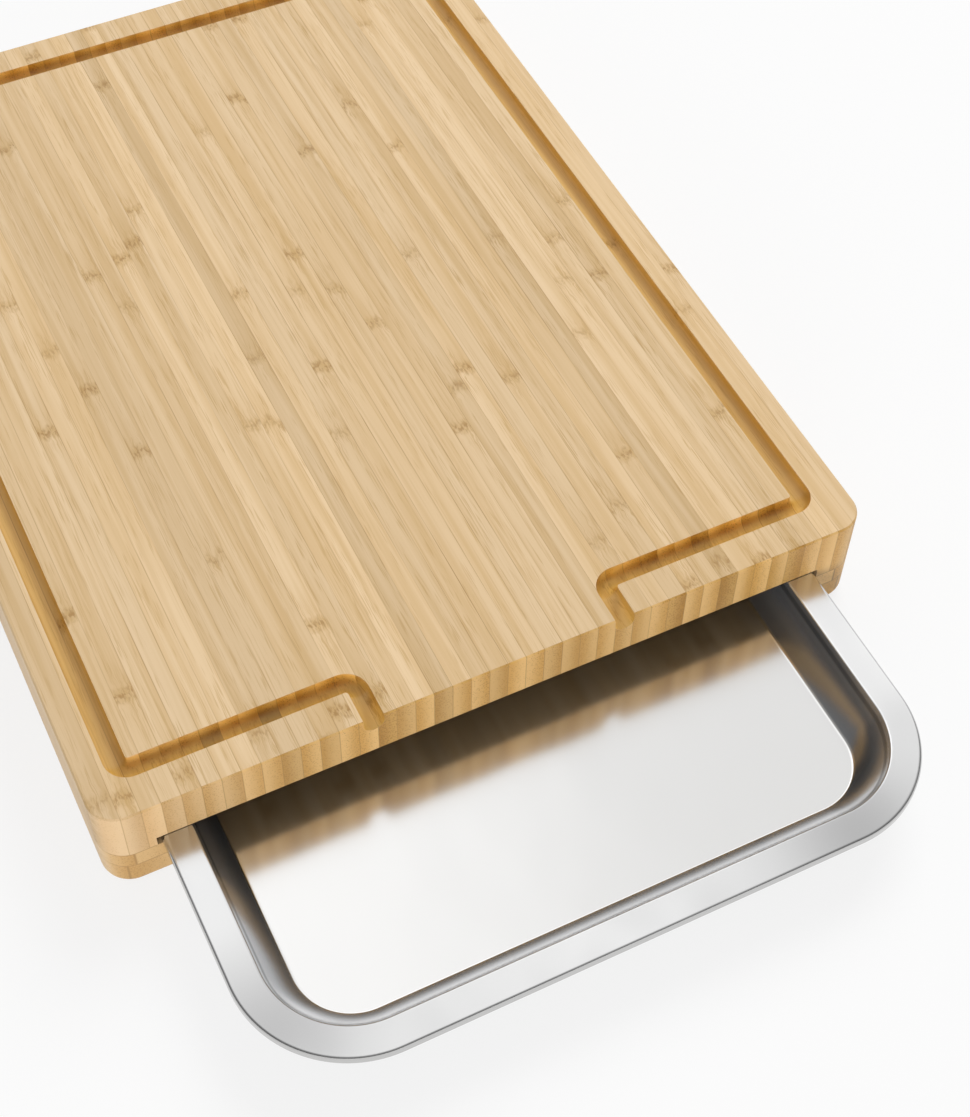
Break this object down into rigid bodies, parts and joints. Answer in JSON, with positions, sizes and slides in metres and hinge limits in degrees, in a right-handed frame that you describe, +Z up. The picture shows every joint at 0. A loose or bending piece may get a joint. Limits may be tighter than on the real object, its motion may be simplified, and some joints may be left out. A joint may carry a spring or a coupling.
{
  "type": "cutting board with drawer tray",
  "caption": "Laminated bamboo carving board with a juice groove and two front outlets over a flat steel drip tray that slides out between two rails.",
  "frame": {"origin": "on the table, in the middle of the footprint of the board and its tray drawn out as stored", "axes": "+X to the right seen from the front, +Y to the back along the laths and the tray's travel, +Z up"},
  "size_m": [0.3, 0.494, 0.044],
  "materials": {
    "bamboo_honey": "oiled, fine straight streaks",
    "bamboo_pale": "oiled, pale with few streaks",
    "bamboo_speckled": "oiled, darker with short fibre specks",
    "bamboo_rail": "oiled, end grain at the front",
    "steel_satin": "satin, soft reflections"
  },
  "bodies": {
    "board": {"lath_01": "bamboo_honey", "lath_02": "bamboo_pale", "lath_03": "bamboo_honey", "lath_04": "bamboo_honey", "lath_05": "bamboo_pale", "lath_06": "bamboo_honey", "lath_07": "bamboo_honey", "lath_08": "bamboo_honey", "lath_09": "bamboo_pale", "lath_10": "bamboo_honey", "lath_11": "bamboo_honey", "lath_12": "bamboo_pale", "lath_13": "bamboo_honey", "lath_14": "bamboo_honey", "lath_15": "bamboo_speckled", "lath_16": "bamboo_honey", "lath_17": "bamboo_honey", "lath_18": "bamboo_pale", "lath_19": "bamboo_honey", "lath_20": "bamboo_honey", "lath_21": "bamboo_honey", "lath_22": "bamboo_pale", "lath_23": "bamboo_honey", "lath_24": "bamboo_honey", "lath_25": "bamboo_honey", "lath_26": "bamboo_pale", "lath_27": "bamboo_honey", "lath_28": "bamboo_honey", "lath_29": "bamboo_pale", "lath_30": "bamboo_honey", "lath_31": "bamboo_speckled", "lath_32": "bamboo_honey", "lath_33": "bamboo_honey", "lath_34": "bamboo_speckled", "lath_35": "bamboo_honey", "lath_36": "bamboo_pale", "lath_37": "bamboo_honey", "lath_38": "bamboo_speckled", "lath_39": "bamboo_honey", "lath_40": "bamboo_honey", "lath_41": "bamboo_pale", "lath_42": "bamboo_honey", "left_rail_upper_outer": "bamboo_rail", "left_rail_upper_inner": "bamboo_rail", "left_rail_lower_outer": "bamboo_rail", "left_rail_lower_inner": "bamboo_rail", "right_rail_upper_outer": "bamboo_rail", "right_rail_upper_inner": "bamboo_rail", "right_rail_lower_outer": "bamboo_rail", "right_rail_lower_inner": "bamboo_rail", "rear_rail_upper": "bamboo_rail", "rear_rail_lower": "bamboo_rail"},
    "tray": {"tray": "steel_satin"}
  },
  "joints": [
    {"name": "tray_slide", "type": "slide", "parent": "board", "child": "tray", "axis": [0, -1, 0], "range_m": [-0.104, 0.225]}
  ]
}
